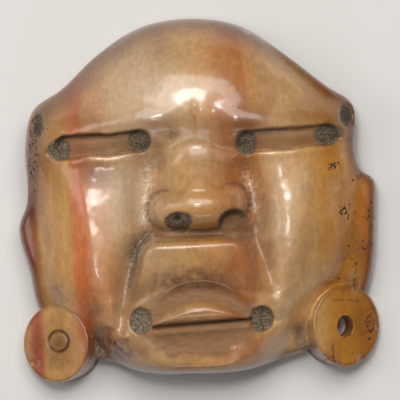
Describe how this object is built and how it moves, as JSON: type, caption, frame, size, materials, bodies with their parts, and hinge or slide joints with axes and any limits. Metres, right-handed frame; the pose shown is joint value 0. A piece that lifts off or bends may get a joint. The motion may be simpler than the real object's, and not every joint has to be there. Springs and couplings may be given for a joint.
{
  "type": "maskette pendant",
  "caption": "Small carved shell face pendant with slot eyes, drilled pits, a raised lip panel, side ledges and two tilted ear discs, hollowed at the back.",
  "frame": {"origin": "under the middle of the whole outline, on the flat ground rim of the back", "axes": "+X to the viewer's right, +Y towards the forehead, +Z out of the face"},
  "size_m": [0.0559, 0.0564, 0.0186],
  "materials": {
    "shell": "polished banded shell, orange-tan with red-orange stripes, hardened soil in the drilled pits"
  },
  "bodies": {
    "root": {"maskette": "shell"}
  },
  "joints": []
}
